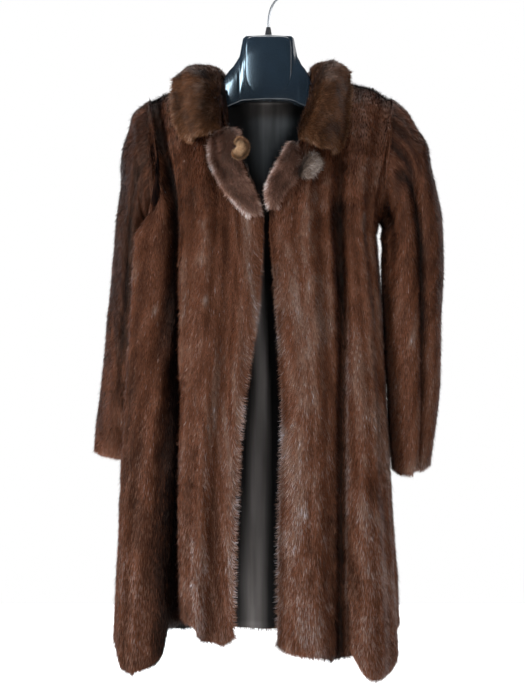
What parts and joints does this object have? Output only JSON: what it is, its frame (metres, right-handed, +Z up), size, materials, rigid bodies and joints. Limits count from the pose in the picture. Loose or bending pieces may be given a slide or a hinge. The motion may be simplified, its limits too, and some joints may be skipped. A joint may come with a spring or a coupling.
{
  "type": "fur coat on clothes hanger",
  "caption": "Three-quarter length let-out fur coat with a rounded collar, hanging open on a broad moulded hanger with a wire hook.",
  "frame": {"origin": "inner top of the hook's bow, where a rail carries it", "axes": "+Z up, the coat's front faces -Y, +X is the right side as seen from the front"},
  "size_m": [0.5937, 0.2851, 1.1562],
  "materials": {
    "body_fur": "let-out fur pile, glossy dark brown",
    "sleeve_fur": "let-out fur pile, dark brown",
    "collar_fur": "dense fur pile, darkest brown",
    "facing_fur": "fur pile, lighter tan brown",
    "button_fur": "curled fur, golden tan",
    "tab_fur": "spiky fur, grey tan",
    "satin": "satin, taupe",
    "hanger_plastic": "glossy moulded, dark blue black",
    "plug_plastic": "semi-matte, black",
    "steel_wire": "bright wire"
  },
  "bodies": {
    "root": {"coat_back_top": "body_fur", "coat_back_skirt": "body_fur", "front_left_top": "body_fur", "front_left_skirt": "body_fur", "front_right_top": "body_fur", "front_right_skirt": "body_fur", "sleeve_left": "sleeve_fur", "sleeve_right": "sleeve_fur", "collar": "collar_fur", "facing_left": "facing_fur", "facing_right": "facing_fur", "button_ball": "button_fur", "loop_tab": "tab_fur", "lining_back": "satin", "hanger_body": "hanger_plastic", "hanger_shield": "hanger_plastic", "hanger_plug": "plug_plastic", "hanger_hook": "steel_wire"}
  },
  "joints": []
}
